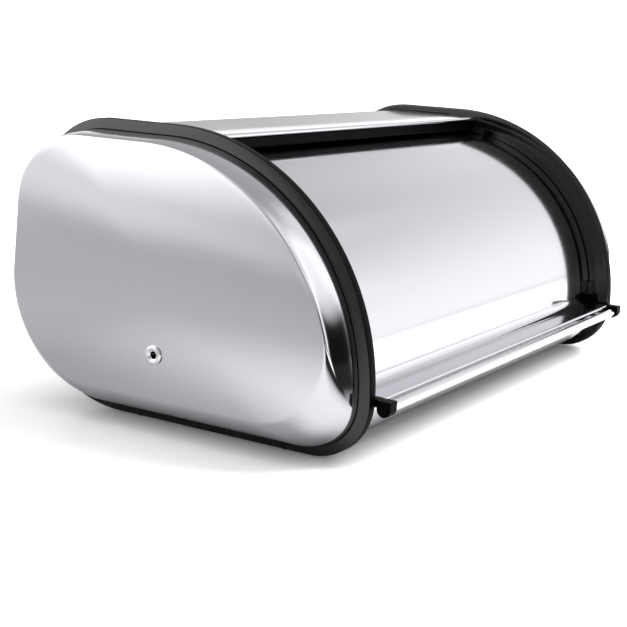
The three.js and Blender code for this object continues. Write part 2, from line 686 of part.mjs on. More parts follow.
// ---- Door ------------------------------------------------------------------------------
// The curved sheet with a stiffening hem at its top and a level flange along its foot.
function doorPanel() {
  const r = DOOR_RADIUS - DOOR_SHEET / 2;
  const rise = Math.asin((FLANGE_MIDDLE - AXIS_Z + FLANGE_BEND) / (r + FLANGE_BEND));
  const low = 180 - deg(rise);
  const top = rad(DOOR_TOP_ANGLE);
  const body = new Tape(r * Math.cos(top), AXIS_Z + r * Math.sin(top), DOOR_TOP_ANGLE + 90)
    .bend(r, low - DOOR_TOP_ANGLE)
    .bend(FLANGE_BEND, -(90 - deg(rise)));
  body.line(LIP_DEPTH + body.end.x - LIP_BEND - DOOR_SHEET / 2);
  body.bend(LIP_BEND, 90).line(LIP_LENGTH);
  const hem = new Tape(body.points[0].x, body.points[0].y, DOOR_TOP_ANGLE - 90);
  hem.bend(DOOR_HEM_BEND, -90).line(DOOR_HEM - DOOR_HEM_BEND);
  const reach = INNER_FACE + DOOR_GRIP;
  const whole = prism(ribbon(hem.thenBack(body), DOOR_SHEET), -reach, reach);
  const cut = [];
  const bendTop = AXIS_Z + r * Math.sin(rise);
  const topEdge = r * Math.cos(top);
  const flangeBack = -DOOR_RADIUS - CORNER_EASE;
  const front = -LIP_DEPTH - PAST;
  for (const side of Object.values(SIDES)) {
    const past = side * (reach + PAST);
    cut.push(box(side * FLANGE_REACH, past, front, flangeBack, AXIS_Z / 2, bendTop + PAST));
    cut.push(box(side * CLEAR_REACH, past, front, -GROOVE_INNER / 2, AXIS_Z / 2, bendTop));
    cut.push(box(side * (CLEAR_REACH - GAP), past, topEdge, DOOR_HEM, AXIS_Z + DOOR_RADIUS / 2, CASE_HEIGHT));
    cut.push(footHole(side));
  }
  return combine(whole, { cut });
}

// Glides run in the grooves and grip the door's side edges at its corners.
function glide(side, fromDeg) {
  const inner = GROOVE_INNER + RUNNING;
  const outer = GROOVE_OUTER - RUNNING;
  const from = side * (INNER_FACE + RUNNING);
  const to = side * (GROOVE_FLOOR - RUNNING);
  const block = prism(sector(inner, outer, fromDeg, fromDeg + GLIDE_SPAN), from, to, 4);
  const gripInner = DOOR_RADIUS - DOOR_SHEET - GAP;
  const grip = sector(gripInner, DOOR_RADIUS + GAP, fromDeg - PAST, fromDeg + GLIDE_SPAN + PAST);
  const gripEnd = side * (INNER_FACE + DOOR_GRIP + GAP);
  return combine(block, { cut: [prism(grip, side * (INNER_FACE - PAST), gripEnd, 4)] });
}

const GLIDE_TOP = DOOR_TOP_ANGLE - GLIDE_LAP;
const GLIDE_LOW = GROOVE_FRONT - GLIDE_LAP - GLIDE_SPAN;

// ---- Handle ----------------------------------------------------------------------------
const SCREW_DEPTH = LIP_DEPTH - HOLDER_SCREW.back;

function handleRod() {
  const reach = HOLDER_INNER + SOCKET_DEPTH - GAP;
  const start = new THREE.Vector3(-reach, -ROD_FORWARD, ROD_HEIGHT);
  return pin(ROD_RADIUS, 2 * reach, start, new THREE.Vector3(1, 0, 0), 24, 0.5);
}

// The holder's round nose carries the rod's end, its foot lies under the flange and its
// lug stands against the door's lower corner.
function handleHolder(side) {
  const inner = side * HOLDER_INNER;
  const web = side * CLEAR_REACH;
  const nose = new THREE.Shape();
  nose.moveTo(-ROD_FORWARD - HOLDER_RADIUS, FLANGE_HEIGHT);
  nose.lineTo(-ROD_FORWARD - HOLDER_RADIUS, ROD_HEIGHT);
  nose.absarc(-ROD_FORWARD, ROD_HEIGHT, HOLDER_RADIUS, Math.PI, 2 * Math.PI, false);
  nose.lineTo(-ROD_FORWARD + HOLDER_RADIUS, FLANGE_HEIGHT);
  const back = DOOR_RADIUS + CORNER_EASE + GAP;
  const lugR = HOLDER_LUG.radius;
  const lugZ = FLANGE_HEIGHT + HOLDER_LUG.height - lugR;
  const lug = new THREE.Shape();
  lug.moveTo(-back - 2 * lugR, HOLDER_FLOOR);
  lug.lineTo(-back, HOLDER_FLOOR);
  lug.lineTo(-back, lugZ);
  lug.absarc(-back - lugR, lugZ, lugR, 0, Math.PI, false);
  const footTop = FLANGE_HEIGHT - DOOR_SHEET - GAP;
  const footFront = -LIP_DEPTH + DOOR_SHEET + LIP_BEND + GAP;
  const footBack = -back - FLANGE_BEND;
  const add = [
    box(inner, web, -ROD_FORWARD, -back, HOLDER_FLOOR, FLANGE_HEIGHT),
    prism(lug, inner, web, 8),
    box(side * FOOT_INNER, side * (HOLDER_INNER + PAST), footFront, footBack, HOLDER_FLOOR, footTop),
  ];
  const mouth = new THREE.Vector3(side * (HOLDER_INNER - PAST), -ROD_FORWARD, ROD_HEIGHT);
  const outwards = new THREE.Vector3(side, 0, 0);
  const socket = drill(ROD_RADIUS + GAP, PAST + SOCKET_DEPTH, mouth, outwards, 24);
  const noseSolid = prism(nose, inner, side * (HOLDER_INNER + HOLDER_WIDTH), 10);
  return combine(noseSolid, { add, cut: [socket, footHole(side)] });
}

const footScrewX = (side) => side * (FOOT_INNER + HOLDER_FOOT * HOLDER_SCREW.share);

function footHole(side) {
  const start = new THREE.Vector3(footScrewX(side), -SCREW_DEPTH, HOLDER_FLOOR - PAST);
  return drill(SCREW.shank + GAP, FLANGE_HEIGHT - HOLDER_FLOOR + 2 * PAST, start, UP);
}

function holderScrew(side) {
  const length = SCREW.headHeight + GAP + FLANGE_HEIGHT - HOLDER_FLOOR - 0.1;
  const start = new THREE.Vector3(footScrewX(side), -SCREW_DEPTH, HOLDER_FLOOR - GAP - SCREW.headHeight);
  return turned(screwProfile(length), start, UP);
}

// ---- Seal and bumpers ------------------------------------------------------------------
// A black strip under the roof's hem closes the slit above the door.
function roofSeal() {
  const front = -(ROOF_EDGE_DEPTH - SEAL_OFFSET);
  const back = front + SEAL_THICKNESS;
  const roofR = FRONT_RADIUS - ROOF_INSET;
  const hemDepth = SHEET + 2 * HEM_RADIUS + SHEET / 2;
  const top = AXIS_Z + Math.sqrt(roofR ** 2 - front ** 2) - hemDepth - GAP;
  const low = AXIS_Z + Math.sqrt(DOOR_RADIUS ** 2 - back ** 2) + SEAL_CLEARANCE;
  const shape = new THREE.Shape();
  shape.moveTo(front, top);
  shape.lineTo(front, low + SEAL_CHAMFER);
  shape.lineTo(front + SEAL_CHAMFER, low);
  shape.lineTo(back, low);
  shape.lineTo(back, top);
  return prism(shape, -CLEAR_REACH, CLEAR_REACH);
}

function sillBumper(side) {
  const height = FLANGE_HEIGHT - DOOR_SHEET - LEDGE_HEIGHT - 2 * GAP;
  const { tape, short } = baseTape(0);
  tape.bend(LEDGE_BEND, -(90 + short));
  const middle = tape.end.x + LEDGE_DEPTH / 2;
  const start = new THREE.Vector3(side * BUMPER_REACH, middle, LEDGE_HEIGHT + GAP);
  return pin(BUMPER_RADIUS, height, start, UP, 16, 0.6);
}

// ---- Assembly --------------------------------------------------------------------------
const assembly = new THREE.Group();
assembly.position.set(0, (CASE_FRONT - CASE_REAR) / 2, FOOT.proud);

function place(name, geometry, look) {
  const mesh = new THREE.Mesh(geometry, look);
  mesh.name = name;
  assembly.add(mesh);
}

place("upper_shell", upperShell(), steel);
place("base_shell", baseShell(), steel);
place("roof_seal", roofSeal(), blackPlastic);
place("door_panel", doorPanel(), steel);
place("handle_rod", handleRod(), chrome);
RIVET_REACH.forEach((x, n) => place(`seam_rivet_${n + 1}`, seamRivet(x), zincScrew));

for (const [name, side] of Object.entries(SIDES)) {
  place(`${name}_end_frame`, endFrame(side), blackPlastic);
  place(`${name}_end_panel`, endPanel(side), steel);
  place(`${name}_vent_eyelet`, ventEyelet(side), chrome);
  place(`${name}_upper_glide`, glide(side, GLIDE_TOP), glidePlastic);
  place(`${name}_lower_glide`, glide(side, GLIDE_LOW), glidePlastic);
  place(`${name}_handle_holder`, handleHolder(side), blackPlastic);
  place(`${name}_holder_screw`, holderScrew(side), zincScrew);
  place(`${name}_sill_bumper`, sillBumper(side), rubber);
  FOOT_PLACES.forEach((y, n) => place(`${name}_foot_${n + 1}`, footPad(side, y), rubber));
  const tabs = [...upperTabs(side), ...baseTabs(side)];
  tabs.forEach((tab, n) => place(`${name}_frame_screw_${n + 1}`, tabScrew(tab), zincScrew));
}

export default assembly;
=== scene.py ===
import bmesh
import bpy
import json
import math
import numpy as np
from mathutils import Matrix, Vector


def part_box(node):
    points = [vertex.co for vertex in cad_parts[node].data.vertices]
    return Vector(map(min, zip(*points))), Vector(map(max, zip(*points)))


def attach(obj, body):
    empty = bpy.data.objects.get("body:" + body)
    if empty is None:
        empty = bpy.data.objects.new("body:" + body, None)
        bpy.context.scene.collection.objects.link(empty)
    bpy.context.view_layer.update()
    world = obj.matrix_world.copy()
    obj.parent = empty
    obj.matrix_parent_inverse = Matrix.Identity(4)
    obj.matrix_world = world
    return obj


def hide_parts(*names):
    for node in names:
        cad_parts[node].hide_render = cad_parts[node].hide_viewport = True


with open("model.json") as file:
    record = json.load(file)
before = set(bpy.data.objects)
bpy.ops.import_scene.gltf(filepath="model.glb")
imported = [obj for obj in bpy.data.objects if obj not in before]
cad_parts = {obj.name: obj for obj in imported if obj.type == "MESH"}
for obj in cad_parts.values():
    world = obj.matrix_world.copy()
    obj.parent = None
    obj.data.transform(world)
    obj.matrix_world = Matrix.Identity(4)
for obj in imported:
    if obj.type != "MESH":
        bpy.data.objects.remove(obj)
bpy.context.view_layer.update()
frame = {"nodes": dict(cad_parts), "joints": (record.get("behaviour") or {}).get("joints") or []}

# ---- Camera ------------------------------------------------------------------------------
# It stands a metre away, off the left front corner and a little above the roof, and is
# tipped slightly anticlockwise.
stand = Vector((-0.8494, -0.4748, 0.2417))
aim = Vector((-0.001, 0.0329, 0.0364))
tip = math.radians(2.95)
back = (stand - aim).normalized()
level = Vector((0, 0, 1)).cross(back).normalized()
rise = back.cross(level)
across = level * math.cos(tip) + rise * math.sin(tip)
upright = rise * math.cos(tip) - level * math.sin(tip)
camera = bpy.data.objects.new("camera", bpy.data.cameras.new("camera"))
camera.data.sensor_width = 36
camera.data.lens = 79.64
camera.data.clip_start = 0.05
camera.data.clip_end = 50
facing = Matrix((across, upright, back)).transposed().to_4x4()
camera.matrix_world = Matrix.Translation(stand) @ facing
bpy.context.scene.collection.objects.link(camera)
bpy.context.scene.camera = camera


# ---- Table and light ---------------------------------------------------------------------
# A white glossy table top, with light and shade painted into it, under a grey studio with soft
# lights. Both shade the polished sheet.
def linear(colour):
    """An sRGB hex colour as linear RGB: c / 12.92 up to 0.04045, and ((c + 0.055) / 1.055) ** 2.4
    above."""
    c = np.array([int(colour[i : i + 2], 16) for i in (1, 3, 5)]) / 255
    return (*np.where(c <= 0.04045, c / 12.92, ((c + 0.055) / 1.055) ** 2.4), 1.0)


def add(tree, kind, inputs=None, **settings):
    """Adds one node. Its inputs, under their names or numbers, are values, sockets to link from,
    or nodes whose first output is linked."""
    node = tree.nodes.new(kind)
    for name, value in settings.items():
        setattr(node, name, value)
    for name, value in (inputs or {}).items():
        if isinstance(value, bpy.types.Node):
            value = value.outputs[0]
        if isinstance(value, bpy.types.NodeSocket):
            tree.links.new(value, node.inputs[name])
        else:
            node.inputs[name].default_value = value
    return node


def material(name):
    """A new material and its emptied node tree."""
    made = bpy.data.materials.new(name)
    made.use_nodes = True
    made.node_tree.nodes.clear()
    return made, made.node_tree


def finish_with(tree, shader):
    """Makes a shader the material's surface."""
    add(tree, "ShaderNodeOutputMaterial", {"Surface": shader})


def bearings(tree, towards):
    """Compass bearing and steepness of a direction, in degrees: atan2(x, -y) and asin(z). A
    bearing of 0 is in front of the box and 90 is to its right."""
    apart = add(tree, "ShaderNodeSeparateXYZ", {0: towards}).outputs
    front = add(tree, "ShaderNodeMath", {0: apart["Y"], 1: -1.0}, operation="MULTIPLY")
    turn = add(tree, "ShaderNodeMath", {0: apart["X"], 1: front}, operation="ARCTAN2")
    lift = add(tree, "ShaderNodeMath", {0: apart["Z"]}, operation="ARCSINE")
    return [add(tree, "ShaderNodeMath", {0: angle}, operation="DEGREES") for angle in (turn, lift)]


def patch(tree, one, two, edges):
    """1 inside a rectangle of two measures and 0 outside it. Edges are the low side's start and
    end and the high side's start and end for each measure, and each side is a smooth step."""
    inside = 1.0
    for measure, (a, b, c, d) in zip((one, two), edges):
        for step in ({0: measure, 1: a, 2: b}, {0: measure, 1: c, 2: d, 3: 1.0, 4: 0.0}):
            step = add(tree, "ShaderNodeMapRange", step, interpolation_type="SMOOTHSTEP")
            inside = add(tree, "ShaderNodeMath", {0: inside, 1: step}, operation="MULTIPLY")
    return inside


# The table shows itself white, with a painted glow in front of the case and far out that lifts
# the case's shadow there. What the steel mirrors of it is painted shade and painted glow: dark far
# out in front, greyer on the left and glowing brightest on the right, seen from the case's left
# front corner. A patch is bearings in degrees and distances in metres.
NEAR_CORNER = (-0.2, -0.1, 0)
FAR_OUT = (20, 30)
TABLE_LEFT = (-178, -155, -140, -95), (0.3, 3.0, *FAR_OUT)
TABLE_LEFT_GREY = (-180, -160, -105, -75), (0.10, 0.40, 0.9, 1.8)
TABLE_FRONT = (-40, -12, 43, 53), (0.05, 0.28, *FAR_OUT)
TABLE_RIGHT = (42, 52, 110, 140), (0.0, 0.05, *FAR_OUT)
table_look, tree = material("table_top_with_painted_light")
spot = add(tree, "ShaderNodeNewGeometry").outputs["Position"]
spot = add(tree, "ShaderNodeVectorMath", {0: spot, 1: NEAR_CORNER}, operation="SUBTRACT")
deep = add(tree, "ShaderNodeSeparateXYZ", {0: spot}).outputs["Y"]
deep = add(tree, "ShaderNodeMath", {0: deep, 1: -1.0}, operation="MULTIPLY")
bearing, _ = bearings(tree, spot)
distance = add(tree, "ShaderNodeVectorMath", {0: spot}, operation="LENGTH").outputs["Value"]
# Painted shade: the mirrored table is darker in a grey patch on the left and far out in front.
grey = {0: patch(tree, bearing, distance, TABLE_LEFT_GREY), 1: -0.24, 2: 0.60}
grey = add(tree, "ShaderNodeMath", grey, operation="MULTIPLY_ADD")
grey = {0: patch(tree, bearing, distance, TABLE_FRONT), 1: -0.6, 2: grey}
grey = add(tree, "ShaderNodeMath", grey, operation="MULTIPLY_ADD")
grey = add(tree, "ShaderNodeMath", {0: grey, 1: 0.01}, operation="MAXIMUM")
# Painted glow: the mirrored table emits light over the left and, clear of the case's front, over
# the right.
open_front = {0: deep, 1: 0.06, 2: 0.16, 4: 0.60}
open_front = add(tree, "ShaderNodeMapRange", open_front, interpolation_type="SMOOTHSTEP")
on_right = {0: patch(tree, bearing, distance, TABLE_RIGHT), 1: open_front}
on_right = add(tree, "ShaderNodeMath", on_right, operation="MULTIPLY")
alight = {0: patch(tree, bearing, distance, TABLE_LEFT), 1: 0.5, 2: on_right}
mirrored = add(
    tree,
    "ShaderNodeBsdfPrincipled",
    {
        "Base Color": add(tree, "ShaderNodeCombineColor", {0: grey, 1: grey, 2: grey}),
        "Roughness": 0.6,
        "Specular IOR Level": 0.0,
        "Emission Color": (1, 1, 1, 1),
        "Emission Strength": add(tree, "ShaderNodeMath", alight, operation="MULTIPLY_ADD"),
    },
)
# Painted light: the table that the camera sees glows in front of the case and far out, lifting the
# case's shadow there.
front_glow = {0: deep, 1: -0.03, 2: 0.09, 4: 0.55}
front_glow = add(tree, "ShaderNodeMapRange", front_glow, interpolation_type="SMOOTHSTEP")
far_glow = add(tree, "ShaderNodeMapRange", {0: distance, 1: 0.5, 2: 1.6, 3: 0.05, 4: 0.7})
both = add(tree, "ShaderNodeMath", {0: far_glow, 1: front_glow}, operation="ADD")
shown = add(
    tree,
    "ShaderNodeBsdfPrincipled",
    {
        "Base Color": linear("#fbfbfc"),
        "Roughness": 0.3,
        "Specular IOR Level": 0.3,
        "Emission Color": (1, 1, 1, 1),
        "Emission Strength": both,
    },
)
seen = add(tree, "ShaderNodeLightPath").outputs["Is Camera Ray"]
finish_with(tree, add(tree, "ShaderNodeMixShader", {0: seen, 1: mirrored, 2: shown}))
table_mesh = bpy.data.meshes.new("table")
edge = 6.0  # metres from the middle
corners = [(-edge, -edge, 0), (edge, -edge, 0), (edge, edge, 0), (-edge, edge, 0)]
table_mesh.from_pydata(corners, [], [(0, 1, 2, 3)])
table_mesh.materials.append(table_look)
table = bpy.data.objects.new("table", table_mesh)
bpy.context.scene.collection.objects.link(table)

# The studio: grey walls, a wide soft light to the right and low, others over the left, the
# back and the roof, darkness in front, and one window over it. The camera sees it white. A
# light is its strength, then its bearings and steepnesses in degrees.
WALLS = 0.5
SOFT_LIGHTS = (
    (0.92, ((40, 56, 95, 128), (-90, -80, 0, 50))),
    (0.45, ((50, 58, 74, 86), (26, 34, 42, 48))),
    (1.80, ((-178, -155, -136, -92), (-6, 8, 55, 80))),
    (0.70, ((98, 106, 150, 175), (5, 9, 13, 20))),
    (0.45, ((-180, -179, 179, 180), (50, 75, 90, 91))),
)
DARK_FRONT = (-45, -8, 43, 56), (-90, -60, 15, 25)
WINDOW = (24, 36, 50, 66), (11, 18, 40, 50)
world = bpy.data.worlds.new("studio")
bpy.context.scene.world = world
world.use_nodes = True
tree = world.node_tree
tree.nodes.clear()
bearing, steepness = bearings(tree, add(tree, "ShaderNodeTexCoord").outputs["Generated"])
glow = WALLS
for strength, edges in SOFT_LIGHTS:
    light = {0: patch(tree, bearing, steepness, edges), 1: strength, 2: glow}
    glow = add(tree, "ShaderNodeMath", light, operation="MULTIPLY_ADD")
shade = {0: patch(tree, bearing, steepness, DARK_FRONT), 1: -0.985, 2: 1.0}
shade = add(tree, "ShaderNodeMath", shade, operation="MULTIPLY_ADD")
glow = add(tree, "ShaderNodeMath", {0: glow, 1: shade}, operation="MULTIPLY")
light = {0: patch(tree, bearing, steepness, WINDOW), 1: 0.80, 2: glow}
glow = add(tree, "ShaderNodeMath", light, operation="MULTIPLY_ADD")
seen = add(tree, "ShaderNodeLightPath").outputs["Is Camera Ray"]
glow = add(tree, "ShaderNodeMath", {0: seen, 1: 3.0, 2: glow}, operation="MULTIPLY_ADD")
studio = add(tree, "ShaderNodeBackground", {"Color": (1, 1, 1, 1), "Strength": glow})
add(tree, "ShaderNodeOutputWorld", {"Surface": studio})
bpy.context.scene.view_settings.view_transform = "Standard"


def lamp(name, place, towards, size, power):
    """A rectangular soft box, in metres and watts, aimed at a point. Polished parts don't mirror
    its outline."""
    data = bpy.data.lights.new(name, "AREA")
    data.shape = "RECTANGLE"
    data.size, data.size_y = size
    data.energy = power
    soft_box = bpy.data.objects.new(name, data)
    soft_box.matrix_world = (
        Matrix.Translation(place)
        @ (Vector(place) - Vector(towards)).to_track_quat("Z", "Y").to_matrix().to_4x4()
    )
    soft_box.visible_glossy = False
    bpy.context.scene.collection.objects.link(soft_box)


lamp("overhead", (0.1, 0.1, 1.8), (0, 0, 0), (1.8, 1.4), 14)
lamp("key", (0.7, -0.9, 1.5), (0, 0, 0), (0.9, 0.9), 52)


# ---- End rims ----------------------------------------------------------------------------
# Each end of the case is a ring of gloss black ABS, injection moulded in a polished tool. It
# carries the sheets in slots, the end panel in a deeper one and the door in a curved groove.
mm = 0.001
axis = np.array(frame["joints"][0]["pos_m"])  # the door turns about this
rim_low, rim_high = (np.array(corner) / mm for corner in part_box("right_end_frame"))
FRONT = rim_high[2] - axis[2] / mm  # radius of the front curve, about the door's axis
AXIS_Z = rim_high[2] - rim_low[2] - FRONT
INNER_FACE, OUTER_FACE = rim_low[0], rim_high[0]
CORNER, FLOOR_END, REAR, ROOF_END, ROOF_CORNER = 36.5, 35.5, 78.2, 48.8, 55.3
origin = axis - np.array([0, 0, AXIS_Z * mm])  # where y and z are zero in the side view
SIDES = {"left": -1, "right": 1}


def case_outline(u, front=FRONT, corner=CORNER, floor=0.0, rear=REAR, roof=ROOF_CORNER):
    """The case's side outline as tangent arcs and straights, walked from above the door's axis
    down the front, along the floor and back over the roof. The whole part of u, 0 to 6, says
    which stretch a point is on and the rest how far along it is. Returns points and normals."""
    corner_z = floor + corner
    corner_y = -np.sqrt((front - corner) ** 2 - (AXIS_Z - corner_z) ** 2)
    join = np.arctan2(corner_z - AXIS_Z, corner_y) % (2 * np.pi)
    rear_c = np.array([FLOOR_END, floor + rear])
    roof_c = np.array([ROOF_END, AXIS_Z + front - roof])
    span = roof_c - rear_c
    lean = 2 * np.pi + np.arctan2(span[1], span[0]) - np.arccos((rear - roof) / np.hypot(*span))
    turn = np.pi / 2
    arcs = {
        0: (np.array([0, AXIS_Z]), front, turn, join),
        1: (np.array([corner_y, corner_z]), corner, join, 3 * turn),
        3: (rear_c, rear, 3 * turn, lean),
        5: (roof_c, roof, lean, 5 * turn),
    }
    u = np.asarray(u, float) % 7
    stretch = np.minimum(u.astype(int), 6)
    along = u - stretch
    points = np.zeros(u.shape + (2,))
    normals = np.zeros(u.shape + (2,))

    def on_arc(which, share):
        """The point and the outward direction at a share of an arc: centre + radius * outward."""
        centre, radius, start, end = arcs[which]
        angle = start + (end - start) * share
        out = np.stack([np.cos(angle), np.sin(angle)], -1)
        return centre + radius * out, out

    for k in range(7):
        here = stretch == k
        if k in arcs:
            points[here], normals[here] = on_arc(k, along[here])
        else:
            (a, normal), (b, _) = on_arc(k - 1, np.array(1.0)), on_arc((k + 1) % 7, np.array(0.0))
            points[here] = a + (b - a) * along[here, None]
            normals[here] = normal
    return points, normals


def rounded(corners, radii, steps):
    """Closed sections, one per row, with each corner replaced by an arc tangent to both of its
    edges. The arc swings evenly from one edge's tangent point to the other's."""
    before, after = np.roll(corners, 1, 1) - corners, np.roll(corners, -1, 1) - corners
    reach_a = np.linalg.norm(before, axis=-1, keepdims=True)
    reach_b = np.linalg.norm(after, axis=-1, keepdims=True)
    a, b = before / reach_a, after / reach_b
    half = np.arccos(np.clip((a * b).sum(-1, keepdims=True), -0.9999, 0.9999)) / 2
    room = 0.45 * np.minimum(reach_a, reach_b)
    tangent = np.minimum(np.array(radii)[None, :, None] / np.tan(half), room)
    middle = (a + b) / np.linalg.norm(a + b, axis=-1, keepdims=True)
    centre = corners + middle * tangent / np.cos(half)
    swing = np.pi - 2 * half
    share = np.linspace(0, 1, steps + 1)[:, None, None, None]
    from_a = np.sin((1 - share) * swing) / np.sin(swing) * (corners + a * tangent - centre)
    from_b = np.sin(share * swing) / np.sin(swing) * (corners + b * tangent - centre)
    arc = centre + from_a + from_b
    return np.moveaxis(arc, 0, 2).reshape(len(corners), -1, 2)


def skin(name, grid, look, ring=False, caps=False, sharp=35):
    """A mesh over a grid of points, in millimetres in the side view's frame. Neighbouring points
    are joined, the last column to the first and, in a ring, the last row to the first. Points
    that coincide are merged, so a row may be a pole."""
    rows, columns = grid.shape[:2]
    index = np.arange(rows * columns).reshape(rows, columns)
    index = np.hstack([index, index[:, :1]])
    if ring:
        index = np.vstack([index, index[:1]])
    quads = np.stack([index[:-1, :-1], index[:-1, 1:], index[1:, 1:], index[1:, :-1]], -1)
    faces = quads.reshape(-1, 4).tolist()
    if caps:
        faces += [index[0, :-1].tolist(), index[-1, :-1][::-1].tolist()]
    mesh = bpy.data.meshes.new(name)
    mesh.from_pydata((grid.reshape(-1, 3) * mm + origin).tolist(), [], faces)
    work = bmesh.new()
    work.from_mesh(mesh)
    bmesh.ops.remove_doubles(work, verts=work.verts, dist=1e-7)
    bmesh.ops.dissolve_degenerate(work, edges=work.edges, dist=1e-7)
    bmesh.ops.recalc_face_normals(work, faces=work.faces)
    work.to_mesh(mesh)
    work.free()
    mesh.shade_smooth()
    mesh.set_sharp_from_angle(angle=math.radians(sharp))
    mesh.materials.append(look)
    piece = bpy.data.objects.new(name, mesh)
    bpy.context.scene.collection.objects.link(piece)
    return piece


def settle(piece, body, slot, *nodes):
    """The piece moves with a body and stands for CAD nodes, which it hides. Its slot is not used.
    """
    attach(piece, body)
    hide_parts(*nodes)
    return piece


# Gloss ABS: a deep black with sharp reflections, slightly unsteady over the moulding.
gloss_black, tree = material("moulded_gloss_abs")
where = add(tree, "ShaderNodeTexCoord").outputs["Object"]
ripple = add(tree, "ShaderNodeTexNoise", {"Vector": where, "Scale": 1 / (14 * mm), "Detail": 2.0})
dust = add(tree, "ShaderNodeTexNoise", {"Vector": where, "Scale": 1 / (3 * mm), "Detail": 4.0})
roughness = add(tree, "ShaderNodeMapRange", {0: dust, 3: 0.10, 4: 0.20})
bumps = {"Height": ripple, "Strength": 0.12, "Distance": 0.2 * mm}
finish_with(
    tree,
    add(
        tree,
        "ShaderNodeBsdfPrincipled",
        {
            "Base Color": linear("#101012"),
            "Roughness": roughness,
            "IOR": 1.54,
            "Normal": add(tree, "ShaderNodeBump", bumps),
        },
    ),
)

# The walls that run along X are spark-textured in the tool: a dull black that mirrors little.
textured_black, tree = material("spark_textured_abs")
where = add(tree, "ShaderNodeTexCoord").outputs["Object"]
grain = add(tree, "ShaderNodeTexNoise", {"Vector": where, "Scale": 1 / (0.9 * mm), "Detail": 3.0})
roughness = add(tree, "ShaderNodeMapRange", {0: grain, 3: 0.34, 4: 0.46})
bumps = {"Height": grain, "Strength": 0.25, "Distance": 0.03 * mm}
finish_with(
    tree,
    add(
        tree,
        "ShaderNodeBsdfPrincipled",
        {
            "Base Color": linear("#050506"),
            "Roughness": roughness,
            "Specular IOR Level": 0.02,
            "Normal": add(tree, "ShaderNodeBump", bumps),
        },
    ),
)

WIDTH = OUTER_FACE - INNER_FACE
DEPTH = 24.0  # of the ring, in from its outline
BEZEL, BEZEL_DROP = 6.3, 1.6
SLOT_WIDTH, SLOT_DEEP = 1.4, 4.0
GROOVE_OUT, GROOVE_IN, TRACK_IN = 129.6, 118.5, 114.0  # radii about the door's axis
GROOVE_DEEP, WEB = 4.6, 6.6
GROOVE_ENDS = math.radians(39.6), math.radians(181.5)
SHEET_SLOT = 3.0
FIT = 0.35  # play between a sheet and what it meets
SHEET_REACH = INNER_FACE + SHEET_SLOT - FIT
TOUCH = 0.03  # depth of a slot or groove where it is closed
# Insets of the slots' and the closed groove's walls, out and in.
ROOF_SLOT, FLOOR_SLOT, SPARE_SLOT = (4.25, 5.55), (5.2, 6.5), (3.6, 3.9)
CLOSED_GROOVE = (11.7, 22.0)
LEAST_INSET, MOST_INSET, MOST_DEPTH = 4.3, 40.0, 45.0
REACHED = 60.0  # a circle further in than this doesn't meet the ring
LAND = 0.8  # least wall between a slot and the groove


def inset_of(radius, points, normals):
    """How far in from the outline a circle about the door's axis lies, along each normal: the
    first root of |point - inset * normal - axis| = radius."""
    arm = points - np.array([0, AXIS_Z])
    along = (arm * normals).sum(-1)
    root = along**2 - (arm**2).sum(-1) + radius**2
    return along - np.sqrt(np.maximum(root, 0))


# Places along the outline, closer together where a slot starts or stops. The groove runs from
# low on the back wall, over the roof's underside, to the foot of the front curve. The roof's
# slot starts behind the hem, and the floor's ends under the sill.
HEM_END = 6.8
SILL_BACK = 110.5
SEAM_LOW = math.radians(348)
SEAM_TOP = 4.0  # a place: where the rear arc meets the back wall


def spaced(*counts):
    """Places evenly spaced on each stretch of the outline, with a count for each."""
    return np.concatenate([k + np.arange(n) / n for k, n in enumerate(counts)])


fine = np.linspace(0, 7, 70001)[:-1]
fine_points, fine_normals = case_outline(fine)
fine_angle = np.arctan2(fine_normals[:, 1], fine_normals[:, 0]) % (2 * np.pi)


def first_place(test, low, high):
    """The first place between two others where the test holds."""
    return fine[test & (fine >= low) & (fine < high)][0]


groove_inset = inset_of(GROOVE_IN, fine_points, fine_normals)[:, None]
groove_arm = fine_points - fine_normals * groove_inset - [0, AXIS_Z]
groove_angle = np.arctan2(groove_arm[:, 1], groove_arm[:, 0]) % (2 * np.pi)
groove_foot = first_place(groove_angle >= GROOVE_ENDS[1], 0.5, 2)
groove_top = AXIS_Z + GROOVE_IN * math.sin(GROOVE_ENDS[0])
groove_back = first_place(fine_points[:, 1] >= groove_top, 4, 5)
sill_back = first_place(fine_points[:, 0] >= -SILL_BACK, 1, 2)
seam_low = first_place(fine_angle >= SEAM_LOW, 3, 4)
hem_end = first_place(fine_points[:, 0] <= HEM_END, 6, 7)
edges = np.array([groove_foot, groove_back, sill_back, seam_low, SEAM_TOP, hem_end])
even = spaced(110, 64, 6, 72, 44, 70, 24)
places = np.unique(np.concatenate([even, edges - 0.001, edges + 0.001]))


def between(start, end):
    """1 from one place to another and 0 elsewhere, for every place along the outline."""
    past, before = places > start, places < end
    return (past & before) if start < end else (past | before)


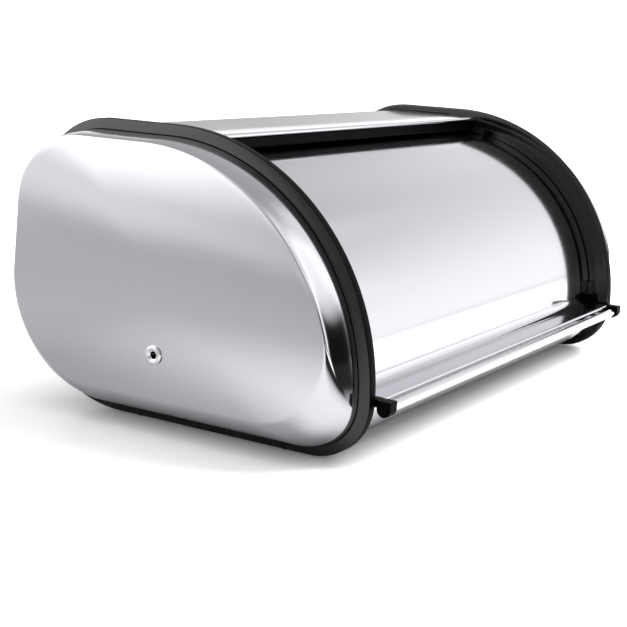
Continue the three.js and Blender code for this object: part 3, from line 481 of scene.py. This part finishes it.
def rim(side):
    """A section of sixteen rounded corners carried round the outline. Each corner is an inset
    from the outline and a distance out from the inner face. The groove's corners follow circles
    about the door's axis where a circle is near, and closed slots have almost no depth."""
    points, normals = case_outline(places)
    groove = between(groove_back, groove_foot)
    near_front = (places < 1.3) | (places > 4)

    def follow(radius, otherwise):
        """The inset of a circle where it meets the ring, and a fixed one elsewhere."""
        inset = inset_of(radius, points, normals)
        return np.where(near_front & (inset <= REACHED), inset, otherwise)

    behind_groove = (places > groove_foot + 0.04) & (places < groove_back - 0.03)
    inner = np.clip(follow(TRACK_IN, DEPTH), DEPTH, MOST_DEPTH)
    inner = np.where(behind_groove, DEPTH, inner)
    out_wall = np.clip(follow(GROOVE_OUT, CLOSED_GROOVE[0]), LEAST_INSET, MOST_INSET)
    in_wall = np.clip(follow(GROOVE_IN, CLOSED_GROOVE[1]), out_wall + 1, inner - 1)
    deep = np.where(groove, GROOVE_DEEP, TOUCH)
    upper = between(seam_low, hem_end)
    lower = between(sill_back, SEAM_TOP)
    slot_out = np.where(upper, ROOF_SLOT[0], FLOOR_SLOT[0])
    slot_in = np.where(lower, FLOOR_SLOT[1], ROOF_SLOT[1])
    crowded = groove & (out_wall < slot_in + LAND)
    slot_out = np.where(crowded, SPARE_SLOT[0], slot_out)
    slot_in = np.where(crowded, SPARE_SLOT[1], slot_in)
    slot = np.where((upper | lower) & ~crowded, SHEET_SLOT, TOUCH)
    corners = [
        (0, 0, 1.0),
        (0, WIDTH - BEZEL_DROP, 0.9),
        (BEZEL, WIDTH, 0.3),
        (BEZEL, WIDTH - SLOT_DEEP, 0.1),
        (BEZEL + SLOT_WIDTH, WIDTH - SLOT_DEEP, 0.1),
        (BEZEL + SLOT_WIDTH, WEB, 0.3),
        (inner, WEB, 0.8),
        (inner, 0, 0.8),
        (in_wall, 0, 0.4),
        (in_wall, deep, 0.4),
        (out_wall, deep, 0.4),
        (out_wall, 0, 0.5),
        (slot_in, 0, 0.2),
        (slot_in, slot, 0.05),
        (slot_out, slot, 0.05),
        (slot_out, 0, 0.2),
    ]
    same = np.ones(len(places))
    section = [np.column_stack([inset * same, out * same]) for inset, out, _ in corners]
    section = rounded(np.stack(section, 1), [radius for _, _, radius in corners], 4)
    grid = np.empty(section.shape[:2] + (3,))
    grid[..., 0] = side * (INNER_FACE + section[..., 1])
    grid[..., 1:] = points[:, None] - section[..., :1] * normals[:, None]
    return grid


TEXTURED_BELOW = 0.45  # a face is textured where its normal's part along X is smaller
for name, side in SIDES.items():
    made = skin(f"{name}_rim", rim(side), gloss_black, ring=True, sharp=40)
    made.data.materials.append(textured_black)
    normals = np.empty((len(made.data.polygons), 3))
    made.data.polygons.foreach_get("normal", normals.ravel())
    textured = np.abs(normals[:, 0]) < TEXTURED_BELOW
    made.data.polygons.foreach_set("material_index", textured.astype(int))
    settle(made, "case", "black_gloss_plastic", f"{name}_end_frame")

# ---- End panels --------------------------------------------------------------------------
# A dish deep-drawn from 0.6 mm stainless sheet: a skirt held in the rim's slot, a shoulder
# that rises steeply in front and slowly below, a crisp crease and a gently crowned face.
SHEET = 0.6
PANEL_RISE, CROWN = 26.6, 4.5
SKIRT_SINK, SKIRT_GAP = 0.6, 0.3
SWEEP = math.radians(60)  # of the ellipse that the shoulder follows
PEAK = np.array([-12.0, 95.4])
VENT_Y, VENT_Z, VENT_BORE = -14.6, 49.3, 2.9
CREASE_START, CREASE_REACH = 0.95, 1.1  # a share of the shoulder, and millimetres of the face
CLOUD = 45  # size of the sheet's cloudy patches
FACE = dict(front=FRONT - 9, corner=46.0, floor=21.0, rear=62.0, roof=46.0)


def brushed(name, colour, roughness, grain, along):
    """Polished sheet: a mirror finish whose faint lines run along X, with cloudier patches."""
    made, tree = material(name)
    where = add(tree, "ShaderNodeTexCoord").outputs["Object"]
    scale = (1 / (along * mm), 1 / (grain * mm), 1 / (grain * mm))
    drawn = add(tree, "ShaderNodeMapping", {0: where, 3: scale})
    lines = add(tree, "ShaderNodeTexNoise", {0: drawn, "Scale": 1.0, "Detail": 3.0})
    clouds = {0: where, "Scale": 1 / (CLOUD * mm), "Detail": 3.0}
    clouds = add(tree, "ShaderNodeTexNoise", clouds)
    both = add(tree, "ShaderNodeMath", {0: lines, 1: clouds}, operation="ADD")
    spread = {0: both, 1: 0.6, 2: 1.4, 3: roughness[0], 4: roughness[1]}
    bumps = {"Height": lines, "Strength": 0.05, "Distance": 0.02 * mm}
    bumps = add(tree, "ShaderNodeBump", bumps)
    waves = {"Height": clouds, "Strength": 0.15, "Distance": 0.1 * mm, "Normal": bumps}
    finish_with(
        tree,
        add(
            tree,
            "ShaderNodeBsdfPrincipled",
            {
                "Base Color": linear(colour),
                "Metallic": 1.0,
                "Roughness": add(tree, "ShaderNodeMapRange", spread),
                "Normal": add(tree, "ShaderNodeBump", waves),
            },
        ),
    )
    return made


# Stainless steel, bright annealed and buffed: a soft mirror that blurs what is far from it.
polished = brushed("bright_annealed_stainless", "#d2d2d7", (0.08, 0.13), grain=0.35, along=30)


def crown_at(points):
    """Height of the face above its crease: CROWN * (1 - share squared), where share is a point's
    distance from the peak over the crease's distance in the same direction."""
    edge, _ = case_outline(np.linspace(0, 7, 1401)[:-1], **FACE)
    bearing = np.arctan2(*(edge - PEAK).T[::-1])
    order = np.argsort(bearing)
    distance = np.linalg.norm(edge - PEAK, axis=-1)
    arm = points - PEAK
    towards = np.arctan2(arm[..., 1], arm[..., 0])
    limit = np.interp(towards, bearing[order], distance[order], period=2 * np.pi)
    return CROWN * (1 - (np.linalg.norm(arm, axis=-1) / limit) ** 2)


def dish(side):
    """Rings from the skirt to the vent's hole on the outer face, and back on the inner one. The
    shoulder is 60 degrees of an ellipse from skirt to crease. The crease is a small curve
    a * (1 - t)^2 + 2 * crease * t * (1 - t) + b * t^2 between points a millimetre to each side."""
    around = spaced(100, 60, 16, 80, 12, 70, 10)
    vent = np.array([VENT_Y, VENT_Z])
    rings = []
    for offset in (0, SHEET):
        outline, normals = case_outline(around)
        skirt = outline - normals * (BEZEL + SKIRT_GAP + offset)
        face, face_normals = case_outline(around, **FACE)
        crease = face - face_normals * offset * 0.7
        top = OUTER_FACE + PANEL_RISE - offset
        foot = OUTER_FACE - SKIRT_SINK - offset * 0.6

        def shoulder(share):
            """A ring at a share of the way up the shoulder."""
            angle = share * SWEEP
            inwards = (1 - math.cos(angle)) / (1 - math.cos(SWEEP))
            spot = skirt + (crease - skirt) * inwards
            height = foot + (top - foot) * math.sin(angle) / math.sin(SWEEP)
            return np.column_stack([np.full(len(spot), height), spot])

        bearing = crease - vent
        hole = vent + VENT_BORE * bearing / np.linalg.norm(bearing, axis=-1, keepdims=True)

        def on_face(share):
            """A ring at a share of the way from the crease to the vent's hole."""
            spot = crease + (hole - crease) * share
            height = OUTER_FACE + PANEL_RISE - offset + crown_at(spot)
            return np.column_stack([height, spot])

        near = CREASE_REACH / np.linalg.norm(hole - crease, axis=-1, keepdims=True)
        a, corner, b = shoulder(CREASE_START), shoulder(1.0), on_face(near)
        bend = [
            a * (1 - t) ** 2 + 2 * corner * t * (1 - t) + b * t**2 for t in np.linspace(0, 1, 7)
        ]
        start = OUTER_FACE - SLOT_DEEP + 0.4
        skirt_rings = [np.column_stack([np.full(len(skirt), x), skirt]) for x in (start, foot - 1)]
        side_rings = [shoulder(s) for s in np.linspace(0, CREASE_START, 26)[:-1]]
        face_rings = [on_face(near + (1 - near) * s) for s in np.linspace(0, 1, 36)[1:]]
        sheet = skirt_rings + side_rings + bend + face_rings
        rings += sheet if offset == 0 else sheet[::-1]
    grid = np.stack(rings)
    grid[..., 0] *= side
    return grid


for name, side in SIDES.items():
    made = skin(f"{name}_panel", dish(side), polished, ring=True, sharp=50)
    settle(made, "case", "polished_steel", f"{name}_end_panel")

# ---- Vent eyelets ------------------------------------------------------------------------
# A brass eyelet, chromium plated, set through each end panel so that the bread can breathe.
def turned(name, profile, start, towards, look, segments=64, ring=False):
    """A profile of radius and height pairs turned about a line: start + height * line + radius *
    (cos(angle) * first + sin(angle) * second), with first and second square to the line."""
    profile = np.array(profile, float)
    line = np.array(towards, float) / np.linalg.norm(towards)
    first = np.cross(line, [0, 0, 1] if abs(line[2]) < 0.9 else [0, 1, 0])
    first /= np.linalg.norm(first)
    second = np.cross(line, first)
    angle = np.linspace(0, 2 * np.pi, segments, endpoint=False)
    spoke = np.cos(angle)[:, None] * first + np.sin(angle)[:, None] * second
    grid = np.array(start) + profile[:, :1, None] * spoke + profile[:, 1:, None] * line
    return skin(name, grid, look, ring=ring)


def plated(name, colour, roughness):
    """Bright plating: a mirror with the slightest cloudiness."""
    made, tree = material(name)
    where = add(tree, "ShaderNodeTexCoord").outputs["Object"]
    clouds = add(tree, "ShaderNodeTexNoise", {0: where, "Scale": 1 / (8 * mm), "Detail": 3.0})
    spread = {0: clouds, 3: roughness[0], 4: roughness[1]}
    finish_with(
        tree,
        add(
            tree,
            "ShaderNodeBsdfPrincipled",
            {
                "Base Color": linear(colour),
                "Metallic": 1.0,
                "Roughness": add(tree, "ShaderNodeMapRange", spread),
            },
        ),
    )
    return made


chrome = plated("bright_chromium_plate", "#e9eaec", (0.03, 0.06))
COLLAR, TUBE, BEAD = 5.75, 2.1, 1.3
STAND_OFF, CLINCH = 0.35, 1.5  # over the panel's face, and behind the sheet
hole = VENT_BORE - STAND_OFF
back_face = -(STAND_OFF + SHEET + CLINCH)
clinched = VENT_BORE + 1.6
bead = [
    (TUBE + (COLLAR - TUBE) * (1 - s), BEAD * math.sin(math.pi * min(1, 0.12 + 0.88 * s)) ** 0.6)
    for s in np.linspace(0, 1, 24)[1:]
]
profile = [(hole, 0.0), (COLLAR, 0.0), *bead, (TUBE, back_face - 0.9)]
profile += [(TUBE + 0.3, back_face - BEAD), (clinched, back_face - 0.6), (clinched, back_face)]
profile += [(hole, back_face)]
face_at_vent = OUTER_FACE + PANEL_RISE + float(crown_at(np.array([VENT_Y, VENT_Z])))
for name, side in SIDES.items():
    seat = side * (face_at_vent + STAND_OFF)
    made = turned(f"{name}_vent", profile, (seat, VENT_Y, VENT_Z), (side, 0, 0), chrome, ring=True)
    settle(made, "case", "chrome", f"{name}_vent_eyelet")

# ---- Roof and back -----------------------------------------------------------------------
# One stainless sheet bent over the roof and down the back, with its front edge hemmed under.
ROOF_INSET = 4.6


def path_of(start, heading, moves):
    """The middle line of a bent sheet, from a point and a heading in degrees. A move is a length,
    or a radius and a turn in degrees. Returns points and headings in radians."""
    points, headings = [np.array([start], float)], [np.radians([heading])]
    for move in moves:
        point, angle = points[-1][-1], headings[-1][-1]
        if np.isscalar(move):
            points.append((point + move * np.array([np.cos(angle), np.sin(angle)]))[None])
            headings.append(np.array([angle]))
            continue
        radius, turn = move[0], math.radians(move[1])
        steps = max(6, int(abs(move[1]) / (1.0 if radius > 20 else 6)))
        swung = angle + turn * np.arange(1, steps + 1) / steps
        side = math.copysign(1, turn)
        centre = point + side * radius * np.array([-np.sin(angle), np.cos(angle)])
        points.append(centre + side * radius * np.column_stack([np.sin(swung), -np.cos(swung)]))
        headings.append(swung)
    return np.vstack(points), np.concatenate(headings)


def folded_back(fold, path):
    """A path that starts with another one, walked backwards from its end."""
    points = np.vstack([fold[0][::-1], path[0][1:]])
    headings = np.concatenate([fold[1][::-1] + np.pi, path[1][1:]])
    return points, headings


def bent_sheet(path, thickness, reach):
    """A thin rectangle with eased corners carried along a path: each place on it gives a closed
    section between -reach and reach along X, half the thickness to each side of the path."""
    points, headings = path
    normal = np.column_stack([-np.sin(headings), np.cos(headings)])
    reach = np.broadcast_to(np.asarray(reach, float), (len(points),))
    half, ease = thickness / 2, thickness * 0.28
    x_side = np.array([-1, 1, 1, 1, 1, -1, -1, -1])
    x_in = np.array([1, 1, 0, 0, 1, 1, 0, 0]) * ease
    off = np.array([1, 1, 0, 0, -1, -1, 0, 0]) * half
    off = off + np.array([0, 0, 1, -1, 0, 0, -1, 1]) * (half - ease)
    x = x_side * (reach[:, None] - x_in)
    spot = points[:, None] + off[:, None] * normal[:, None]
    return np.concatenate([x[..., None], spot], -1)


BETWEEN_RIMS = INNER_FACE - FIT
HEM_BEND, HEM = 1.1, 7.0
HEM_EDGE = 16.0  # how far in front of the door's axis the roof ends
BACK_LAP = 12  # degrees that the sheet runs on round the rear corner
inset = ROOF_INSET + SHEET / 2
wall_top, wall_foot = (case_outline(np.array(place))[0] for place in (5.0, 4.0))
wall_run = wall_top - wall_foot
WALL = float(np.linalg.norm(wall_run))
LEAN = math.degrees(math.atan2(-wall_run[0], wall_run[1]))
front_r = FRONT - inset
tilt = math.degrees(math.asin(HEM_EDGE / front_r))
edge = (-HEM_EDGE, AXIS_Z + front_r * math.cos(math.radians(tilt)))
hem = path_of(edge, tilt + 180, [(HEM_BEND, 180), HEM])
moves = [(front_r, -tilt), ROOF_END, (ROOF_CORNER - inset, LEAN - 90), WALL]
moves += [(REAR - inset, -(LEAN + BACK_LAP))]
whole = folded_back(hem, path_of(edge, tilt, moves))
behind = (whole[0][:, 0] > HEM_END) & (np.arange(len(whole[0])) > len(hem[0]))
reach = np.where(behind, SHEET_REACH, BETWEEN_RIMS)
made = skin("roof_and_back", bent_sheet(whole, SHEET, reach), polished, caps=True)
settle(made, "case", "polished_steel", "upper_shell")

# ---- Floor and sill ----------------------------------------------------------------------
# A second sheet laps inside the back, forms the floor and rises in front to the sill, a narrow
# ledge that the shut door covers.
LEDGE, LEDGE_BEND, LEDGE_DEPTH = 31.8, 3.0, 9.5
LEDGE_TURN, LEDGE_RETURN = 2, 5.0
inset = ROOF_INSET + SHEET + FIT + SHEET / 2
rear_r, corner_r = REAR - inset, CORNER - inset
start = math.degrees(16 / rear_r) - BACK_LAP  # 16 mm of lap inside the back
begin = np.array([math.cos(math.radians(start)), math.sin(math.radians(start))])
begin = np.array([FLOOR_END, REAR]) + rear_r * begin
corner_y = float(case_outline(np.array(2.0))[0][0])
below_ledge = CORNER + LEDGE_BEND - (LEDGE - SHEET / 2)
short = math.degrees(math.asin(below_ledge / (corner_r - LEDGE_BEND)))
moves = [(rear_r, -(90 + start)), FLOOR_END - corner_y, (corner_r, -(90 - short))]
moves += [(LEDGE_BEND, -(90 + short)), LEDGE_DEPTH, (LEDGE_TURN, -90), LEDGE_RETURN]
base = path_of(begin, start - 90, moves)
reach = np.where(base[0][:, 0] < -SILL_BACK, BETWEEN_RIMS, SHEET_REACH)
made = skin("floor_and_sill", bent_sheet(base, SHEET, reach), polished, caps=True)
settle(made, "case", "polished_steel", "base_shell")

# ---- Door --------------------------------------------------------------------------------
# A 0.7 mm stainless sheet rolled to one radius about the door's axis. Its foot turns out into
# a level flange with a narrow lip, and its head is folded in to stiffen it.
DOOR_R, DOOR_SHEET, DOOR_TOP = 124.0, 0.7, 93.5
FLANGE_Z, FLANGE_BEND, LIP_Y = 38.3, 6.0, 143.5
LIP_BEND, LIP = 0.9, 0.5
FOLD_BEND, FOLD = 2.0, 4.0
DOOR_GRIP = 2.9  # of its edges in the grooves
FLANGE_GAP, FOLD_GAP = 6.55, 0.7  # from the rims' inner faces
r = DOOR_R - DOOR_SHEET / 2
bend_over = FLANGE_Z - DOOR_SHEET / 2 - AXIS_Z + FLANGE_BEND
lift = math.degrees(math.asin(bend_over / (r + FLANGE_BEND)))
top = math.radians(DOOR_TOP)
head = (r * math.cos(top), AXIS_Z + r * math.sin(top))
curve = [(r, 180 - lift - DOOR_TOP), (FLANGE_BEND, lift - 90)]
flange_start = float(path_of(head, DOOR_TOP + 90, curve)[0][-1, 0])
level_run = LIP_Y + flange_start - LIP_BEND - DOOR_SHEET / 2
fold = path_of(head, DOOR_TOP - 90, [(FOLD_BEND, -90), FOLD])
whole = folded_back(fold, path_of(head, DOOR_TOP + 90, [*curve, level_run, (LIP_BEND, 90), LIP]))
y, z = whole[0].T
bend_top = AXIS_Z + r * math.sin(math.radians(lift))
reach = np.where(z < bend_top, BETWEEN_RIMS, INNER_FACE + DOOR_GRIP)
reach = np.where((y < -DOOR_R - 0.6) & (z < bend_top + 1), INNER_FACE - FLANGE_GAP, reach)
reach = np.where(np.arange(len(y)) < len(fold[0]), INNER_FACE - FOLD_GAP, reach)
made = skin("door", bent_sheet(whole, DOOR_SHEET, reach), polished, caps=True)
settle(made, "door", "polished_steel", "door_panel")

# ---- Handle rod --------------------------------------------------------------------------
# A 6.2 mm steel rod, centreless ground and chromium plated, along the door's foot.
ROD_Y, ROD_Z, ROD_R = -147.4, 33.4, 3.1
low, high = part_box("handle_rod")
length = (high.x - low.x) / mm
ease = 0.5
ends = [(0, 0), (ROD_R - ease, 0), (ROD_R, ease)]
ends += [(radius, length - height) for radius, height in ends[::-1]]
made = turned("bar", ends, (-length / 2, ROD_Y, ROD_Z), (1, 0, 0), chrome, segments=96)
settle(made, "door", "chrome", "handle_rod")


# ---- Small mouldings and fixings ---------------------------------------------------------
# The CAD shapes of the small pieces are right as they are, apart from their hard edges, so
# copies of them get eased edges.
def eased(node, body, slot, look, width, sharp=30):
    """A copy of a CAD node with its loose triangles merged and its edges bevelled."""
    source = frame["nodes"][node]
    mesh = source.data.copy()
    mesh.materials.clear()
    mesh.materials.append(look)
    work = bmesh.new()
    work.from_mesh(mesh)
    bmesh.ops.remove_doubles(work, verts=work.verts, dist=2e-6)
    bmesh.ops.dissolve_limit(work, angle_limit=math.radians(1), verts=work.verts, edges=work.edges)
    work.to_mesh(mesh)
    work.free()
    mesh.shade_smooth()
    mesh.set_sharp_from_angle(angle=math.radians(sharp))
    piece = bpy.data.objects.new(node + "_made", mesh)
    bpy.context.scene.collection.objects.link(piece)
    ease = piece.modifiers.new("ease", "BEVEL")
    ease.width = width * mm
    ease.segments = 3
    ease.limit_method = "ANGLE"
    ease.angle_limit = math.radians(sharp)
    ease.use_clamp_overlap = True
    return settle(piece, body, slot, node)


def plain(name, colour, roughness, grain, depth):
    """A matt or satin material with an even fine grain."""
    made, tree = material(name)
    where = add(tree, "ShaderNodeTexCoord").outputs["Object"]
    noise = add(tree, "ShaderNodeTexNoise", {0: where, "Scale": 1 / (grain * mm), "Detail": 4.0})
    spread = {0: noise, 3: roughness - 0.06, 4: roughness + 0.06}
    bumps = {"Height": noise, "Strength": 0.3, "Distance": depth * mm}
    finish_with(
        tree,
        add(
            tree,
            "ShaderNodeBsdfPrincipled",
            {
                "Base Color": linear(colour),
                "Roughness": add(tree, "ShaderNodeMapRange", spread),
                "Normal": add(tree, "ShaderNodeBump", bumps),
            },
        ),
    )
    return made


# Acetal slides without grease and is satin, rubber is dull, and zinc plate is a cloudy grey.
satin_black = plain("moulded_acetal", "#151517", 0.42, grain=0.8, depth=0.03)
rubber = plain("moulded_rubber", "#101010", 0.8, grain=0.5, depth=0.05)
zinc = plated("zinc_plated_steel", "#c3c6ca", (0.22, 0.34))

eased("roof_seal", "case", "black_gloss_plastic", textured_black, 0.4)
for n in (1, 2, 3):
    eased(f"seam_rivet_{n}", "case", "zinc_fastener", zinc, 0.15)
for name in SIDES:
    eased(f"{name}_handle_holder", "door", "black_gloss_plastic", textured_black, 0.45)
    eased(f"{name}_holder_screw", "door", "zinc_fastener", zinc, 0.15)
    for glide in ("upper", "lower"):
        eased(f"{name}_{glide}_glide", "door", "black_satin_plastic", satin_black, 0.3)
    eased(f"{name}_sill_bumper", "case", "rubber", rubber, 0.3)
    for n in (1, 2):
        eased(f"{name}_foot_{n}", "case", "rubber", rubber, 0.2)
    for n in (1, 2, 3, 4):
        eased(f"{name}_frame_screw_{n}", "case", "zinc_fastener", zinc, 0.15)
